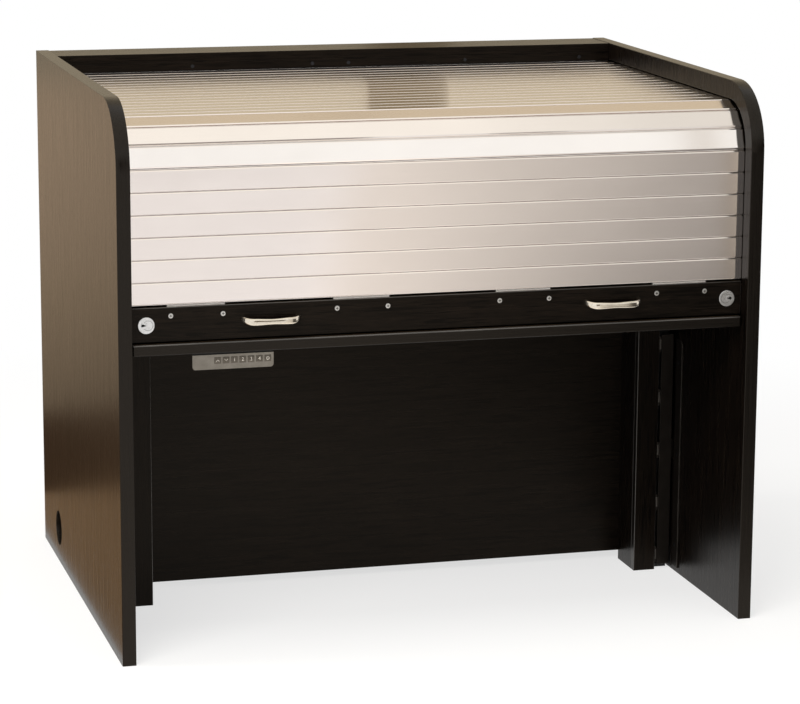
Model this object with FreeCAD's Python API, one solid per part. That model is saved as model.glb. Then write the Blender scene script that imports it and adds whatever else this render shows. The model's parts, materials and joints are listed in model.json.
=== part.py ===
import FreeCAD, Part
import math
import os

from FreeCAD import Placement, Rotation, Vector

# All sizes are in millimetres: X to the right, Y to the back, Z up, origin on the floor at the centre.

# Carcass
overall_width = 1200.0
overall_depth = 900.0
overall_height = 1008.0
panel_thickness = 25.0
panel_corner_radius = 120.0
board_thickness = 16.0
modesty_thickness = 18.0
modesty_floor_gap = 18.0
worktop_thickness = 20.0
worktop_front_inset = 19.0
worktop_end_gap = 4.0
cap_depth = 106.0
cap_thickness = 17.0
cap_drop = 1.0
fascia_clearance = 1.2
back_thickness = 18.0
cleat_size = 20.0
cleat_front_inset = 120.0
cleat_duct_gap = 7.0
cable_hole_radius = 35.0
cable_hole_back_inset = 185.0
cable_hole_z = 69.0

# Tambour slats: an interlocking hollow section with a bead on top and a socket below
tambour_inset = 33.0
tambour_drop = 36.7
slat_pitch = 40.0
slat_thickness = 8.0
slat_gap = 2.5
slat_skin = 1.5
slat_wall = 1.3
slat_end_gap = 1.0
front_slat_count = 6
arc_slat_count = 3
arc_step_angle = 27.0
top_slats_per_node = 3
bead_radius = 2.0
bead_clearance = 0.1
socket_wall = 1.3
socket_body_gap = 0.4
socket_crown = 0.5
socket_open_from = 95.0
socket_open_to = 266.0
neck_thickness = 1.6
bevel_start = 2.5
bevel_end = 14.0
groove_depth = 8.0
groove_outer_clearance = 1.5
groove_inner_clearance = 5.5
groove_end_clearance = 0.2
groove_stop_clearance = 1.0

# Bottom rail
rail_inset = 29.0
rail_thickness = 22.0
rail_height = 62.0
rail_end_gap = 2.0
rail_top_clearance = 0.6
rail_floor_gap = 2.5
shoe_side_clearance = 0.3
shoe_end_clearance = 0.5
shoe_inset = 8.0

# Hinge plates between rail and lowest slat, with their screws
plate_length = 104.0
plate_thickness = 2.0
plate_drop = 24.0
plate_fit = 0.3
plate_inner_x = 152.0
plate_outer_inset = 121.0
plate_screw_spacing = 94.0
plate_screw_height = 46.5
screw_radius = 2.0
screw_hole_clearance = 0.1
screw_head_radius = 4.5
screw_head_height = 2.2
screw_head_round = 0.7
recess_length = 5.0
recess_width = 1.1
recess_depth = 1.0
nut_across_flats = 7.0
nut_height = 3.2
nut_clearance = 0.05
screw_tail = 0.5

# Bow handles
handle_plate_offset = 133.0
handle_height = 31.5
handle_centres = 96.0
handle_reach = 20.0
handle_bar_radius = 3.9
handle_end_radius = 5.0
handle_foot_radius = 6.5
handle_foot_height = 2.0
handle_screw_length = 30.0

# Cam locks
lock_inset = 30.0
lock_height = 31.0
lock_face_radius = 15.0
lock_face_height = 2.5
lock_face_round = 0.8
lock_barrel_radius = 11.0
lock_barrel_clearance = 0.1
lock_plug_offset = 4.0
lock_plug_radius = 5.5
lock_plug_proud = 0.5
lock_clearance = 0.05
lock_nut_radius = 14.0
lock_nut_height = 4.0
keyhole_length = 6.0
keyhole_width = 1.4
keyhole_depth = 8.0
cam_gap = 0.5
cam_thickness = 3.0
cam_width = 12.0
cam_stub_radius = 3.0
cam_length = 22.0
keeper_lap = 8.0
keeper_gap = 0.5
keeper_thickness = 3.0
keeper_leg_height = 24.0
keeper_width = 11.0
keeper_rail_gap = 2.0

# Column ducts under the worktop
knee_depth = 362.0
duct_depth = 94.0
left_duct_width = 99.0
right_duct_width = 79.0
stile_width = 44.0

# Hinged duct cover
cover_hinge_gap = 5.0
cover_thickness = 8.0
cover_free_gap = 5.5
cover_bottom = 11.0
cover_top_gap = 81.5
cover_axis_depth = 2.0
hinge_count = 5
hinge_bottom_margin = 20.0
hinge_top_margin = 19.0
knuckle_length = 20.0
knuckle_radius = 2.0
knuckle_web = 2.4
ear_length = 6.0
ear_gap = 0.3
hinge_pin_radius = 1.0
hinge_pin_clearance = 0.05
strip_width = 31.0
strip_thickness = 3.0
strip_front_gap = 9.0
strip_top_gap = 8.0
strip_corner_radius = 12.0
strip_screw_radius = 3.5
strip_screw_height = 1.2
strip_screw_margin = 45.0
strip_screw_count = 3
catch_width = 15.0
catch_depth = 12.0
catch_height = 40.0

# Electric lift in the two ducts
column_wall_distance = 33.0
column_setback = 55.0
outer_tube_width = 54.0
tube_wall = 3.0
tube_slide_gap = 0.4
outer_tube_bottom = 12.0
flange_width = 58.0
flange_depth = 74.0
flange_thickness = 8.0
inner_tube_headroom = 6.5
base_width = 56.0
base_depth = 72.0
base_thickness = 6.0
base_hole_radius = 3.5
base_hole_spacing = 60.0
control_box_width = 300.0
control_box_depth = 120.0
control_box_height = 44.0
control_box_gap = 16.0

# Key pad of the lift under the worktop's front edge
handset_side_inset = 188.0
handset_width = 148.0
handset_height = 33.5
handset_depth = 62.0
handset_front_inset = 19.0
handset_corner_radius = 6.0
face_height = 27.0
face_thickness = 2.0
key_count = 7
key_size = 9.0
key_height = 0.8
key_pitch = 15.2
key_right_margin = 11.0
key_drop = 11.0

# Screws along the fascia, in two rows of three
fascia_left_margin = 26.0
fascia_left_middle = 57.0
fascia_right_middle = 18.0
fascia_right_margin = 65.0
fascia_screw_count = 3
fascia_screw_radius = 3.5
fascia_screw_height = 1.0
fascia_screw_rise = 8.0

# Slack for telling which edges lie on a face
tolerance = 0.01

# Places worked out from the sizes above
inner_x = overall_width / 2 - panel_thickness
front_y = -overall_depth / 2
back_y = overall_depth / 2
socket_bore = bead_radius + bead_clearance
socket_radius = socket_bore + socket_wall
pivot_depth = slat_thickness - socket_radius
pivot_y = front_y + tambour_inset + pivot_depth
tambour_top = overall_height - tambour_drop
arc_first_angle = (90.0 - arc_step_angle * (arc_slat_count - 1)) / 2
arc_tilts = [arc_first_angle + arc_step_angle * i for i in range(arc_slat_count)]
arc_reach = slat_pitch * sum(math.sin(math.radians(tilt)) for tilt in arc_tilts)
arc_z = tambour_top - pivot_depth - arc_reach
arc_y = pivot_y + arc_reach
first_pivot_z = arc_z - front_slat_count * slat_pitch
rail_top = first_pivot_z - socket_radius - rail_top_clearance
rail_bottom = rail_top - rail_height
rail_front = front_y + rail_inset
rail_back = rail_front + rail_thickness
rail_half = inner_x - rail_end_gap
worktop_top = rail_bottom - rail_floor_gap
worktop_bottom = worktop_top - worktop_thickness
cap_front = back_y - cap_depth
cap_bottom = overall_height - cap_drop - cap_thickness
top_slat_count = math.ceil((cap_front - arc_y) / slat_pitch) + 1
duct_front_y = front_y + knee_depth
duct_back_of_front = duct_front_y + board_thickness
modesty_front_y = duct_front_y + duct_depth
right_duct_left = inner_x - right_duct_width
stile_right = right_duct_left + stile_width
cover_left = stile_right + cover_hinge_gap
cover_right = inner_x - cover_free_gap
cover_axis_x = stile_right + cover_hinge_gap / 2
cover_axis_y = duct_front_y + cover_axis_depth
cover_top = worktop_bottom - cover_top_gap
plate_outer_x = inner_x - plate_outer_inset
handle_x = plate_outer_x - handle_plate_offset
lock_x = inner_x - lock_inset
column_x = inner_x - column_wall_distance
column_y = duct_front_y + column_setback

os.makedirs("parts", exist_ok=True)


def save(name, *solids):
    shape = solids[0] if len(solids) == 1 else Part.makeCompound(list(solids))
    shape.exportStep("parts/" + name + ".step")


def block(x_low, x_high, y_low, y_high, z_low, z_high):
    corner = Vector(x_low, y_low, z_low)
    return Part.makeBox(x_high - x_low, y_high - y_low, z_high - z_low, corner)


def rod_x(radius, x_low, x_high, y, z):
    return Part.makeCylinder(radius, x_high - x_low, Vector(x_low, y, z), Vector(1, 0, 0))


def rod_y(radius, x, y_low, y_high, z):
    return Part.makeCylinder(radius, y_high - y_low, Vector(x, y_low, z), Vector(0, 1, 0))


def rod_z(radius, x, y, z_low, z_high):
    return Part.makeCylinder(radius, z_high - z_low, Vector(x, y, z_low))


def mirrored(shape):
    return shape.mirror(Vector(0, 0, 0), Vector(1, 0, 0))


def prism(points, direction):
    outline = Part.makePolygon(points + points[:1])
    return Part.Face(outline).extrude(direction)


def cross_recess(x, y, z):
    # Cross slot for a driver, cut from the front at y
    half = recess_length / 2
    slot = recess_width / 2
    across = block(x - half, x + half, y, y + recess_depth, z - slot, z + slot)
    upright = block(x - slot, x + slot, y, y + recess_depth, z - half, z + half)
    return across.fuse(upright)


def pan_screw(x, y_face, z, y_end):
    head = rod_y(screw_head_radius, x, y_face - screw_head_height, y_face, z)
    rim = [edge for edge in head.Edges if edge.Closed and edge.CenterOfMass.y < y_face - screw_head_round]
    head = head.makeFillet(screw_head_round, rim)
    shank = rod_y(screw_radius, x, y_face, y_end, z)
    return head.fuse(shank).cut(cross_recess(x, y_face - screw_head_height, z)).removeSplitter()


def hex_nut(x, y, z):
    corner = nut_across_flats / math.sqrt(3)
    angles = [math.radians(60 * i) for i in range(6)]
    points = [Vector(x + corner * math.cos(a), y, z + corner * math.sin(a)) for a in angles]
    bore = rod_y(screw_radius + nut_clearance, x, y, y + nut_height, z)
    return prism(points, Vector(0, nut_height, 0)).cut(bore)


def side_panel():
    # Right-hand panel: square at the back, rounded at the top front, grooved inside for the tambour
    straight_z = overall_height - panel_corner_radius
    round_y = front_y + panel_corner_radius
    middle = panel_corner_radius * (1 - math.sqrt(0.5))
    corners = [
        Vector(inner_x, front_y, straight_z),
        Vector(inner_x, front_y, 0),
        Vector(inner_x, back_y, 0),
        Vector(inner_x, back_y, overall_height),
        Vector(inner_x, round_y, overall_height),
    ]
    edges = [Part.LineSegment(a, b).toShape() for a, b in zip(corners, corners[1:])]
    top_of_arc = Vector(inner_x, front_y + middle, overall_height - middle)
    edges.append(Part.Arc(corners[-1], top_of_arc, corners[0]).toShape())
    board = Part.Face(Part.Wire(edges)).extrude(Vector(panel_thickness, 0, 0))
    return board.cut(groove()).removeSplitter()


def groove():
    # Upright run for the rail's shoes, a quarter turn, and a level run to the back
    floor_x = inner_x + groove_depth
    outer = arc_reach + pivot_depth + groove_outer_clearance
    inner = arc_reach - (slat_thickness - pivot_depth) - groove_inner_clearance
    low_z = rail_bottom + shoe_inset - groove_stop_clearance
    end_y = arc_y + top_slat_count * slat_pitch + bead_radius + groove_stop_clearance
    upright = block(inner_x, floor_x, arc_y - outer, arc_y - inner, low_z, arc_z)
    level = block(inner_x, floor_x, arc_y, end_y, arc_z + inner, arc_z + outer)
    ring = rod_x(outer, inner_x, floor_x, arc_y, arc_z).cut(rod_x(inner, inner_x, floor_x, arc_y, arc_z))
    quarter = ring.common(block(inner_x, floor_x, arc_y - outer, arc_y, arc_z, arc_z + outer))
    return upright.fuse([quarter, level])


def slat(half_length, with_socket=True):
    # Stands upright with its lower pivot on the origin line, outer face towards the front
    outer = -pivot_depth
    inner = slat_thickness - pivot_depth
    body_low = socket_bore + socket_crown
    body_high = slat_pitch - socket_radius - socket_body_gap
    lip_low = slat_gap / 2
    body = block(-half_length, half_length, outer, inner, body_low, body_high)
    skin = block(-half_length, half_length, outer, outer + slat_skin, lip_low, slat_pitch - lip_low)
    neck_half = neck_thickness / 2
    neck = block(-half_length, half_length, -neck_half, neck_half, body_high, slat_pitch)
    bead = rod_x(bead_radius, -half_length, half_length, 0, slat_pitch)
    pieces = [skin, neck, bead]
    if with_socket:
        pieces.append(socket_ring(half_length))
    else:
        body = body.cut(lower_bevel(half_length, outer, inner))
    channel_low = bevel_end + slat_wall
    if with_socket:
        channel_low = body_low + socket_wall + slat_wall
    hollow = block(-half_length, half_length, outer + slat_skin, inner - slat_wall,
                   channel_low, body_high - slat_wall)
    return body.fuse(pieces).cut(hollow).removeSplitter()


def socket_ring(half_length):
    # Open downwards and inwards, so the bead's neck can turn as the slats roll in; the fan that cuts
    # the opening reaches well past the ring, so its straight sides clear it
    ring = rod_x(socket_radius, -half_length, half_length, 0, 0)
    ring = ring.cut(rod_x(socket_bore, -half_length, half_length, 0, 0))
    reach = 3 * socket_radius
    steps = 5
    sweep = socket_open_to - socket_open_from
    angles = [math.radians(socket_open_from + sweep * i / steps) for i in range(steps + 1)]
    points = [Vector(-half_length, 0, 0)]
    points += [Vector(-half_length, -reach * math.sin(a), reach * math.cos(a)) for a in angles]
    return ring.cut(prism(points, Vector(2 * half_length, 0, 0)))


def lower_bevel(half_length, outer, inner):
    # Lets the slats below pass behind the lip of the lowest fixed slat
    points = [
        Vector(-half_length, outer + slat_skin, 0),
        Vector(-half_length, outer + slat_skin, bevel_start),
        Vector(-half_length, inner, bevel_end),
        Vector(-half_length, inner, 0),
    ]
    return prism(points, Vector(2 * half_length, 0, 0))


def placed(shape, y, z, tilt):
    copy = shape.copy()
    copy.Placement = Placement(Vector(0, y, z), Rotation(Vector(-1, 0, 0), tilt))
    return copy


def tambour():
    moving = slat(inner_x - slat_end_gap)
    for i in range(front_slat_count):
        save("front_slat_" + str(i + 1), placed(moving, pivot_y, first_pivot_z + i * slat_pitch, 0))
    half_length = inner_x + groove_depth - groove_end_clearance
    fixed = slat(half_length)
    lowest = slat(half_length, with_socket=False)
    y = pivot_y
    z = arc_z
    for i, tilt in enumerate(arc_tilts):
        save("arc_slat_" + str(i + 1), placed(fixed if i else lowest, y, z, tilt))
        y += slat_pitch * math.sin(math.radians(tilt))
        z += slat_pitch * math.cos(math.radians(tilt))
    level = [placed(fixed, arc_y + i * slat_pitch, arc_z + arc_reach, 90) for i in range(top_slat_count)]
    groups = range(0, top_slat_count, top_slats_per_node)
    for number, start in enumerate(groups, 1):
        save("top_slats_" + str(number), *level[start:start + top_slats_per_node])


def carcass():
    panel = side_panel()
    left = mirrored(panel)
    hole_y = back_y - cable_hole_back_inset
    hole = rod_x(cable_hole_radius, -overall_width / 2, -inner_x, hole_y, cable_hole_z)
    save("left_side_panel", left.cut(hole))
    save("right_side_panel", panel)
    worktop_half = inner_x - worktop_end_gap
    worktop_front = front_y + worktop_front_inset
    save("worktop",
         block(-worktop_half, worktop_half, worktop_front, cap_front, worktop_bottom, worktop_top))
    modesty_back = modesty_front_y + modesty_thickness
    save("modesty_panel",
         block(-inner_x, inner_x, modesty_front_y, modesty_back, modesty_floor_gap, worktop_bottom))
    save("back_panel",
         block(-inner_x, inner_x, back_y - back_thickness, back_y, modesty_floor_gap, cap_bottom))
    inner_back_top = tambour_top - slat_thickness - groove_inner_clearance
    inner_back_rear = cap_front + board_thickness
    save("inner_back_panel",
         block(-inner_x, inner_x, cap_front, inner_back_rear, worktop_bottom, inner_back_top))
    save("rear_cap",
         block(-inner_x, inner_x, cap_front, back_y, cap_bottom, cap_bottom + cap_thickness))
    fascia_bottom = tambour_top + fascia_clearance
    save("rear_fascia",
         block(-inner_x, inner_x, cap_front, inner_back_rear, fascia_bottom, cap_bottom))
    screw_z = fascia_bottom + fascia_screw_rise
    screw_front = cap_front - fascia_screw_height
    left_row = (fascia_left_margin - inner_x, -fascia_left_middle)
    right_row = (fascia_right_middle, inner_x - fascia_right_margin)
    places = []
    for first, last in (left_row, right_row):
        step = (last - first) / (fascia_screw_count - 1)
        places += [first + i * step for i in range(fascia_screw_count)]
    save("fascia_screws", *[rod_y(fascia_screw_radius, x, screw_front, cap_front, screw_z) for x in places])
    cleat = block(inner_x - cleat_size, inner_x,
                  front_y + cleat_front_inset, duct_front_y - cleat_duct_gap,
                  worktop_bottom - cleat_size, worktop_bottom)
    save("worktop_cleats", cleat, mirrored(cleat))


def ducts():
    left_duct_right = left_duct_width - inner_x
    save("left_duct_front",
         block(-inner_x, left_duct_right, duct_front_y, duct_back_of_front, 0, worktop_bottom))
    save("left_duct_side",
         block(left_duct_right - board_thickness, left_duct_right,
               duct_back_of_front, modesty_front_y, 0, worktop_bottom))
    save("right_duct_stile",
         block(right_duct_left, stile_right, duct_front_y, duct_back_of_front, 0, worktop_bottom))
    save("right_duct_side",
         block(right_duct_left, right_duct_left + board_thickness,
               duct_back_of_front, modesty_front_y, 0, worktop_bottom))


def duct_cover():
    cover_back = duct_front_y + cover_thickness
    door = block(cover_left, cover_right, duct_front_y, cover_back, cover_bottom, cover_top)
    half_web = knuckle_web / 2
    bore_radius = hinge_pin_radius + hinge_pin_clearance
    ears = []
    pins = []
    first_hinge = cover_bottom + hinge_bottom_margin
    hinge_step = (cover_top - hinge_top_margin - first_hinge) / (hinge_count - 1)
    for i in range(hinge_count):
        low = first_hinge + i * hinge_step - knuckle_length / 2
        high = low + knuckle_length
        web = block(cover_axis_x, cover_left,
                    cover_axis_y - half_web, cover_axis_y + half_web, low, high)
        door = door.fuse([web, rod_z(knuckle_radius, cover_axis_x, cover_axis_y, low, high)])
        door = door.cut(rod_z(bore_radius, cover_axis_x, cover_axis_y, low, high))
        for ear_low in (low - ear_gap - ear_length, high + ear_gap):
            ears.append(hinge_ear(ear_low, half_web))
        pin_low = low - ear_gap - ear_length
        pins.append(rod_z(hinge_pin_radius, cover_axis_x, cover_axis_y, pin_low, high + ear_gap + ear_length))
    save("duct_cover", door.removeSplitter())
    save("cover_hinge_ears", *ears)
    save("cover_hinge_pins", *pins)
    strip_and_catch(cover_back)


def hinge_ear(low, half_web):
    high = low + ear_length
    ear = rod_z(knuckle_radius, cover_axis_x, cover_axis_y, low, high)
    ear = ear.fuse(block(stile_right, cover_axis_x,
                         cover_axis_y - half_web, cover_axis_y + half_web, low, high))
    bore_radius = hinge_pin_radius + hinge_pin_clearance
    return ear.cut(rod_z(bore_radius, cover_axis_x, cover_axis_y, low, high)).removeSplitter()


def strip_and_catch(cover_back):
    # Strip screwed to the panel beside the cover, and the catch that the cover closes on
    strip_back = duct_front_y - strip_front_gap
    strip_front = strip_back - strip_width
    strip_top = cover_top - strip_top_gap
    strip_face = inner_x - strip_thickness
    strip = block(strip_face, inner_x, strip_front, strip_back, cover_bottom, strip_top)
    corner = [edge for edge in strip.Edges
              if edge.CenterOfMass.y < strip_front + tolerance and edge.CenterOfMass.z > strip_top - tolerance]
    save("cover_side_strip", strip.makeFillet(strip_corner_radius, corner))
    middle_y = (strip_front + strip_back) / 2
    low = cover_bottom + strip_screw_margin
    step = (strip_top - strip_screw_margin - low) / (strip_screw_count - 1)
    heights = [low + i * step for i in range(strip_screw_count)]
    head_face = strip_face - strip_screw_height
    save("cover_strip_screws",
         *[rod_x(strip_screw_radius, head_face, strip_face, middle_y, z) for z in heights])
    catch_z = (cover_bottom + cover_top) / 2
    save("cover_catch",
         block(inner_x - catch_width, inner_x, cover_back, cover_back + catch_depth,
               catch_z - catch_height / 2, catch_z + catch_height / 2))


def square_tube(width, wall, z_low, z_high):
    half = width / 2
    inside = half - wall
    outside = block(column_x - half, column_x + half, column_y - half, column_y + half, z_low, z_high)
    return outside.cut(
        block(column_x - inside, column_x + inside, column_y - inside, column_y + inside, z_low, z_high))


def plate(width, depth, z_low, z_high):
    return block(column_x - width / 2, column_x + width / 2, column_y - depth / 2, column_y + depth / 2,
                 z_low, z_high)


def lift():
    flange_bottom = worktop_bottom - flange_thickness
    outer = square_tube(outer_tube_width, tube_wall, outer_tube_bottom, flange_bottom)
    outer = outer.fuse(plate(flange_width, flange_depth, flange_bottom, worktop_bottom)).removeSplitter()
    inner_width = outer_tube_width - 2 * tube_wall - 2 * tube_slide_gap
    inner = square_tube(inner_width, tube_wall, base_thickness, flange_bottom - inner_tube_headroom)
    base = plate(base_width, base_depth, 0, base_thickness)
    for side in (-1, 1):
        hole_y = column_y + side * base_hole_spacing / 2
        base = base.cut(rod_z(base_hole_radius, column_x, hole_y, 0, base_thickness))
    inner = inner.fuse(base).removeSplitter()
    save("right_lift_outer", outer)
    save("right_lift_inner", inner)
    save("left_lift_outer", mirrored(outer))
    save("left_lift_inner", mirrored(inner))
    box_front = modesty_front_y + modesty_thickness + control_box_gap
    save("control_box",
         block(-control_box_width / 2, control_box_width / 2, box_front, box_front + control_box_depth,
               worktop_bottom - control_box_height, worktop_bottom))


def rounded_below(x_low, x_high, y_low, y_high, z_low, z_high):
    # A plate whose two lower corners are rounded, seen from the front
    shape = block(x_low, x_high, y_low, y_high, z_low, z_high)
    middle_y = (y_low + y_high) / 2
    low_edges = [edge for edge in shape.Edges if edge.CenterOfMass.z < z_low + tolerance]
    corners = [edge for edge in low_edges
               if abs(edge.CenterOfMass.y - middle_y) < tolerance]
    return shape.makeFillet(handset_corner_radius, corners)


def handset():
    handset_x = handset_side_inset - inner_x
    x_low = handset_x - handset_width / 2
    x_high = handset_x + handset_width / 2
    face_front = front_y + worktop_front_inset + handset_front_inset
    case_front = face_front + face_thickness
    low = worktop_bottom - handset_height
    save("handset_case",
         rounded_below(x_low, x_high, case_front, case_front + handset_depth, low, worktop_bottom))
    save("handset_face", rounded_below(x_low, x_high, face_front, case_front, low, low + face_height))
    key_z = low + face_height - key_drop
    half = key_size / 2
    keys = []
    for i in range(key_count):
        key_x = x_high - key_right_margin - i * key_pitch
        keys.append(block(key_x - half, key_x + half, face_front - key_height, face_front,
                          key_z - half, key_z + half))
    save("handset_keys", *keys)


def plate_places():
    return [side * x for side in (-1, 1) for x in (plate_inner_x, plate_outer_x)]


def hinge_plate(x):
    # Lies in the rail's top, runs down its back and carries the bead for the lowest slat
    low_x = x - plate_length / 2
    high_x = x + plate_length / 2
    plate_back = rail_back + plate_thickness
    leg = block(low_x, high_x, rail_back, plate_back, rail_top - plate_drop, rail_top)
    top = block(low_x, high_x, pivot_y - bead_radius, plate_back, rail_top - plate_thickness, rail_top)
    neck_half = neck_thickness / 2
    neck = block(low_x, high_x, pivot_y - neck_half, pivot_y + neck_half, rail_top, first_pivot_z)
    bead = rod_x(bead_radius, low_x, high_x, pivot_y, first_pivot_z)
    shape = leg.fuse([top, neck, bead])
    for screw_x in screw_places(x):
        shape = shape.cut(screw_hole(screw_x))
    return shape.removeSplitter()


def screw_places(x):
    return [x - plate_screw_spacing / 2, x + plate_screw_spacing / 2]


def screw_hole(x):
    radius = screw_radius + screw_hole_clearance
    return rod_y(radius, x, rail_front, rail_back + plate_thickness, rail_bottom + plate_screw_height)


def rail():
    board = block(-rail_half, rail_half, rail_front, rail_back, rail_bottom, rail_top)
    plates = []
    screws = []
    nuts = []
    nut_y = rail_back + plate_thickness
    screw_z = rail_bottom + plate_screw_height
    for x in plate_places():
        half = plate_length / 2 + plate_fit
        notch_front = pivot_y - bead_radius - plate_fit
        board = board.cut(block(x - half, x + half, notch_front, rail_back,
                                rail_top - plate_thickness, rail_top))
        plates.append(hinge_plate(x))
        for screw_x in screw_places(x):
            board = board.cut(screw_hole(screw_x))
            screws.append(pan_screw(screw_x, rail_front, screw_z, nut_y + nut_height + screw_tail))
            nuts.append(hex_nut(screw_x, nut_y, screw_z))
    for side in (-1, 1):
        board = board.cut(rod_y(lock_barrel_radius + lock_barrel_clearance, side * lock_x,
                                rail_front, rail_back, rail_bottom + lock_height))
        for screw_x in handle_screw_places(side):
            board = board.cut(rod_y(screw_radius + screw_hole_clearance, screw_x,
                                    rail_front, rail_back, rail_bottom + handle_height))
    save("tambour_rail", board)
    save("tambour_hinge_plates", *plates)
    save("rail_screws", *screws)
    save("rail_nuts", *nuts)
    shoe_end = inner_x + groove_depth - shoe_end_clearance
    groove_front = pivot_y - pivot_depth - groove_outer_clearance
    groove_back = pivot_y + slat_thickness - pivot_depth + groove_inner_clearance
    shoe = block(rail_half, shoe_end, groove_front + shoe_side_clearance, groove_back - shoe_side_clearance,
                 rail_bottom + shoe_inset, rail_top - shoe_inset)
    save("guide_shoes", mirrored(shoe), shoe)


def handle_screw_places(side):
    return [side * handle_x - handle_centres / 2, side * handle_x + handle_centres / 2]


def bow_handle(side):
    # Round bar, slimmer in the middle, on two tapered feet
    z = rail_bottom + handle_height
    bar_y = rail_front - handle_reach
    left, right = handle_screw_places(side)
    middle = side * handle_x
    ends = [Vector(left, bar_y + handle_end_radius, z), Vector(right, bar_y + handle_end_radius, z)]
    waist = Vector(middle, bar_y + handle_bar_radius, z)
    axis_ends = [Vector(right, bar_y, z), Vector(left, bar_y, z)]
    outline = [
        Part.Arc(ends[0], waist, ends[1]).toShape(),
        Part.LineSegment(ends[1], axis_ends[0]).toShape(),
        Part.LineSegment(axis_ends[0], axis_ends[1]).toShape(),
        Part.LineSegment(axis_ends[1], ends[0]).toShape(),
    ]
    profile = Part.Face(Part.Wire(outline))
    bar = profile.revolve(Vector(middle, bar_y, z), Vector(1, 0, 0), 360)
    pieces = []
    for x in (left, right):
        pieces.append(Part.makeSphere(handle_end_radius, Vector(x, bar_y, z)))
        foot_y = rail_front - handle_foot_height
        pieces.append(Part.makeCone(handle_end_radius, handle_foot_radius, foot_y - bar_y,
                                    Vector(x, bar_y, z), Vector(0, 1, 0)))
        pieces.append(rod_y(handle_foot_radius, x, foot_y, rail_front, z))
    shape = bar.fuse(pieces)
    for x in (left, right):
        tip = rail_back - handle_screw_length
        shape = shape.cut(rod_y(screw_radius + screw_hole_clearance, x, tip, rail_front, z))
    return shape.removeSplitter()


def handle_screw(x):
    # Comes from the rail's back and ends inside the handle's foot
    z = rail_bottom + handle_height
    head = rod_y(screw_head_radius, x, rail_back, rail_back + screw_head_height, z)
    return head.fuse(rod_y(screw_radius, x, rail_back - handle_screw_length, rail_back, z))


def handles():
    save("left_handle", bow_handle(-1))
    save("right_handle", bow_handle(1))
    save("handle_screws", *[handle_screw(x) for side in (-1, 1) for x in handle_screw_places(side)])


def lock():
    # Right-hand lock: the plug sits off centre, towards the side panel
    z = rail_bottom + lock_height
    plug_x = lock_x + lock_plug_offset
    face_front = rail_front - lock_face_height
    nut_back = rail_back + lock_nut_height
    face = rod_y(lock_face_radius, lock_x, face_front, rail_front, z)
    rim = [edge for edge in face.Edges if edge.Closed and edge.CenterOfMass.y < rail_front - lock_face_round]
    face = face.makeFillet(lock_face_round, rim)
    housing = face.fuse(rod_y(lock_barrel_radius, lock_x, rail_front, nut_back, z))
    housing = housing.cut(rod_y(lock_plug_radius + lock_clearance, plug_x, face_front, nut_back, z))
    ring = rod_y(lock_nut_radius, lock_x, rail_back, nut_back, z)
    ring = ring.cut(rod_y(lock_barrel_radius + lock_clearance, lock_x, rail_back, nut_back, z))
    plug_front = face_front - lock_plug_proud
    cam_front = nut_back + cam_gap
    cam_back = cam_front + cam_thickness
    plug = rod_y(lock_plug_radius, plug_x, plug_front, cam_front, z)
    plug = plug.fuse(rod_y(cam_stub_radius, plug_x, cam_front, cam_back, z))
    plug = plug.cut(block(plug_x - keyhole_length / 2, plug_x + keyhole_length / 2,
                          plug_front, plug_front + keyhole_depth,
                          z - keyhole_width / 2, z + keyhole_width / 2))
    cam_half = cam_width / 2
    cam = block(plug_x - cam_half, plug_x + cam_half, cam_front, cam_back, z - cam_length, z)
    cam = cam.fuse(rod_y(cam_half, plug_x, cam_front, cam_back, z))
    cam = cam.cut(rod_y(cam_stub_radius + lock_clearance, plug_x, cam_front, cam_back, z)).removeSplitter()
    keeper_low = z + cam_half + keeper_gap
    keeper_front = rail_back + keeper_rail_gap
    keeper_back = keeper_front + keeper_width
    tongue = block(plug_x + cam_length - keeper_lap, inner_x, keeper_front, keeper_back,
                   keeper_low, keeper_low + keeper_thickness)
    leg = block(inner_x - keeper_thickness, inner_x, keeper_front, keeper_back,
                keeper_low, keeper_low + keeper_leg_height)
    return housing, ring, plug, cam, tongue.fuse(leg).removeSplitter()


def locks():
    housing, ring, plug, cam, keeper = lock()
    save("right_lock_housing", housing)
    save("left_lock_housing", mirrored(housing))
    save("lock_ring_nuts", mirrored(ring), ring)
    save("right_lock_plug", plug)
    save("left_lock_plug", mirrored(plug))
    save("right_lock_cam", cam)
    save("left_lock_cam", mirrored(cam))
    save("lock_keepers", mirrored(keeper), keeper)


carcass()
ducts()
duct_cover()
lift()
handset()
rail()
handles()
locks()
tambour()
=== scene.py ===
import json
import math

import bmesh
import bpy
from mathutils import Matrix, Vector


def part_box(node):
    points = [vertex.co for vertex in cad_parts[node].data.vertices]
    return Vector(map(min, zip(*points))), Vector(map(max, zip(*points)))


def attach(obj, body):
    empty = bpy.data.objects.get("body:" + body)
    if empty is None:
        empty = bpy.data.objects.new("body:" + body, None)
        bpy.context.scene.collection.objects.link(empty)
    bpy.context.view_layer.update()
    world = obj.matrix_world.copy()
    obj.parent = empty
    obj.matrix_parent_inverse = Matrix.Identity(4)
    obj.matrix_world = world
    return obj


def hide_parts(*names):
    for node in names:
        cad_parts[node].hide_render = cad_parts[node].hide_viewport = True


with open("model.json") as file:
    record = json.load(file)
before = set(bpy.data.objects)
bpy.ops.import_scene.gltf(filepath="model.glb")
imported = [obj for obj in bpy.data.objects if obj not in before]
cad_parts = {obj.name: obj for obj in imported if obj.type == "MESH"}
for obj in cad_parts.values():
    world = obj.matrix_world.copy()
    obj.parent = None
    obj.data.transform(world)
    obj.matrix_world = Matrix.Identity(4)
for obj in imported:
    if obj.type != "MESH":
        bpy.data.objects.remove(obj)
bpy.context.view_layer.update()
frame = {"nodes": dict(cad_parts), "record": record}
nodes = frame["nodes"]
record = frame["record"]
bodyOf = {node: body for body, group in record["behaviour"]["bodies"].items() for node in group}
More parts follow.
